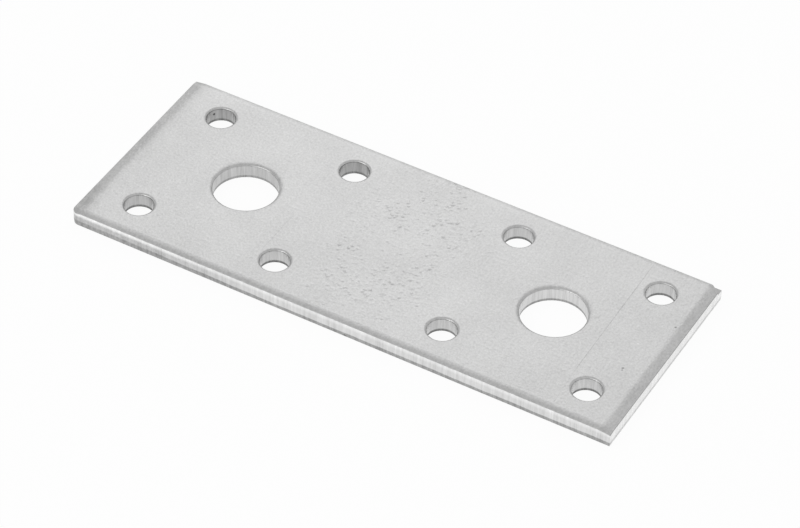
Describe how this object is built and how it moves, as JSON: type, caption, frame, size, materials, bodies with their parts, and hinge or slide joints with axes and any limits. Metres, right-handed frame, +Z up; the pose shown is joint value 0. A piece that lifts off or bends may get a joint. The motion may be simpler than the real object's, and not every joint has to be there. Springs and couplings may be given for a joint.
{
  "type": "mending plate",
  "caption": "Flat rectangular steel mending plate for timber, pierced with small nail holes in two rows and a large bolt hole in each half.",
  "frame": {"origin": "middle of the outline, on the underside that lies against the timber", "axes": "+X along the plate, +Y across it, +Z up through its thickness, out of the top face"},
  "size_m": [0.09, 0.035, 0.0025],
  "materials": {
    "zinc_coated_steel": "matte zinc-coated strip with bright sheared edges"
  },
  "bodies": {
    "root": {"mending_plate": "zinc_coated_steel"}
  },
  "joints": []
}
